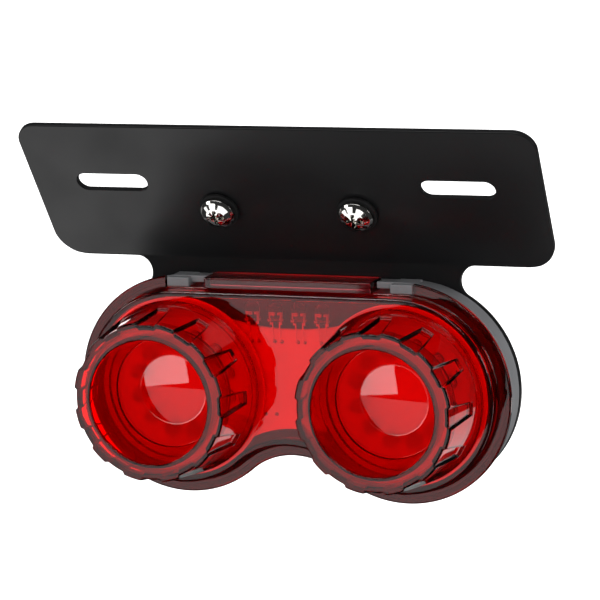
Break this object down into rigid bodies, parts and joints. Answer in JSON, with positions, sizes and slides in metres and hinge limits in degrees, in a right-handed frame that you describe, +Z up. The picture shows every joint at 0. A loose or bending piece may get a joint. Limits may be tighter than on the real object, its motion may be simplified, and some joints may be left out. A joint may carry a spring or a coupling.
{
  "type": "motorcycle tail light",
  "caption": "Motorcycle tail light: red see-through lens with twin deep round eyes in notched rings, grey housing, and a folded black licence-plate bracket with slots.",
  "frame": {"origin": "on the back face of the bracket's lower plate, midway between the two eyes' centre lines, which is also midway between the two mounting studs", "axes": "+X to the viewer's right along the lamp's width, +Y backwards towards the motorcycle along the eyes' axes, +Z up"},
  "size_m": [0.1848, 0.0609, 0.1299],
  "materials": {
    "powder_coated_steel": "black powder coat, satin",
    "red_lens": "red see-through moulded plastic, polished",
    "red_eye_lens": "red see-through moulded plastic, polished",
    "clear_window": "clear moulded plastic, polished",
    "grey_housing": "mid grey moulded plastic, fine grain",
    "white_board": "white solder mask",
    "silvered_reflector": "metallised plastic",
    "clear_led": "clear epoxy",
    "black_rubber": "matt black",
    "chrome_steel": "bright chrome plate",
    "zinc_steel": "bright zinc plate"
  },
  "bodies": {
    "root": {"bracket": "powder_coated_steel", "cable_grommet": "black_rubber", "circuit_board": "white_board", "eye_led_left_01": "clear_led", "eye_led_left_02": "clear_led", "eye_led_left_03": "clear_led", "eye_led_left_04": "clear_led", "eye_led_left_05": "clear_led", "eye_led_left_06": "clear_led", "eye_led_left_07": "clear_led", "eye_led_left_08": "clear_led", "eye_led_left_09": "clear_led", "eye_led_left_10": "clear_led", "eye_led_left_11": "clear_led", "eye_led_left_12": "clear_led", "eye_led_right_01": "clear_led", "eye_led_right_02": "clear_led", "eye_led_right_03": "clear_led", "eye_led_right_04": "clear_led", "eye_led_right_05": "clear_led", "eye_led_right_06": "clear_led", "eye_led_right_07": "clear_led", "eye_led_right_08": "clear_led", "eye_led_right_09": "clear_led", "eye_led_right_10": "clear_led", "eye_led_right_11": "clear_led", "eye_led_right_12": "clear_led", "eye_lens_left": "red_eye_lens", "eye_lens_right": "red_eye_lens", "eye_ring_left": "red_eye_lens", "eye_ring_right": "red_eye_lens", "lens_cover": "red_lens", "lens_seal": "black_rubber", "mount_nut_left": "zinc_steel", "mount_nut_right": "zinc_steel", "mount_stud_left": "zinc_steel", "mount_stud_right": "zinc_steel", "mount_washer_left": "zinc_steel", "mount_washer_right": "zinc_steel", "plate_led_1": "clear_led", "plate_led_2": "clear_led", "plate_led_3": "clear_led", "plate_led_4": "clear_led", "plate_nut_left": "zinc_steel", "plate_nut_right": "zinc_steel", "plate_screw_left": "chrome_steel", "plate_screw_right": "chrome_steel", "plate_washer_left": "black_rubber", "plate_washer_right": "black_rubber", "plate_window": "clear_window", "rear_housing": "grey_housing", "reflector_left": "silvered_reflector", "reflector_right": "silvered_reflector"}
  },
  "joints": []
}
